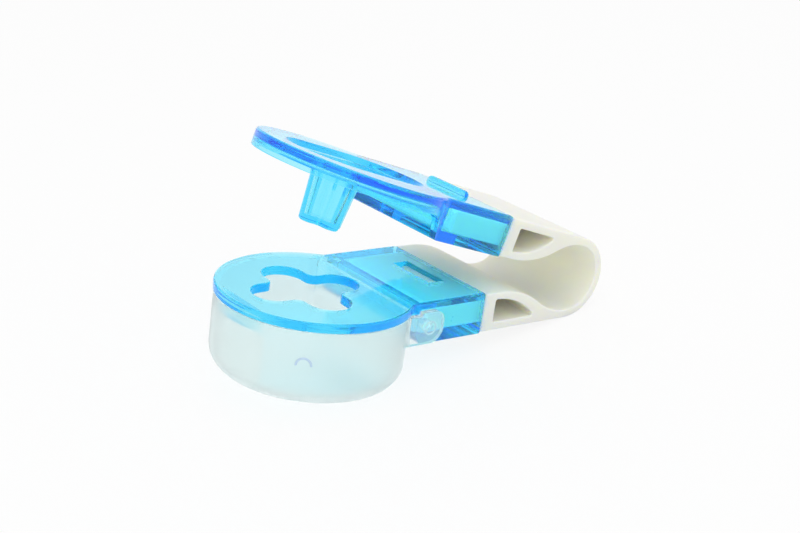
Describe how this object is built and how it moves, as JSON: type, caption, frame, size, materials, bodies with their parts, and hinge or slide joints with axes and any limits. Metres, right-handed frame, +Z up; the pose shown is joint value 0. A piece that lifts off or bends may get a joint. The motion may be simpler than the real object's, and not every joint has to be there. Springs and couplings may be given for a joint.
{
  "type": "tablet remover",
  "caption": "Spring tongs that push a tablet out of a blister: a fluted punch on one clear jaw, a four-lobed hole in the other and a hinged catch cup below.",
  "frame": {"origin": "middle of the footprint of the resting tool's bounding box, on the table", "axes": "+X runs from the round jaws back to the spring's bow, +Y across the tool, +Z up with the tool resting on the cup's rear lower edge and on the bow"},
  "size_m": [0.098, 0.045, 0.0585],
  "materials": {
    "clear_blue": "gloss",
    "milky_clear": "satin",
    "spring_white": "satin"
  },
  "bodies": {
    "lower_half": {"lower_jaw": "clear_blue", "spring_lower_arm": "spring_white", "spring_bow": "spring_white"},
    "upper_half": {"upper_jaw": "clear_blue", "spring_upper_arm": "spring_white"},
    "cup": {"catch_cup": "milky_clear"}
  },
  "joints": [
    {"name": "jaw_squeeze", "type": "hinge", "parent": "lower_half", "child": "upper_half", "pos_m": [0.03879, 0, 0.0102], "axis": [0, -1, 0], "range_deg": [0, 16.5], "stiffness_Nm_per_rad": 4.2, "deforming": ["spring_bow"]},
    {"name": "cup_hinge", "type": "hinge", "parent": "lower_half", "child": "cup", "pos_m": [-0.00662, 0, 0.01281], "axis": [0, -1, 0], "range_deg": [0, 90]}
  ]
}
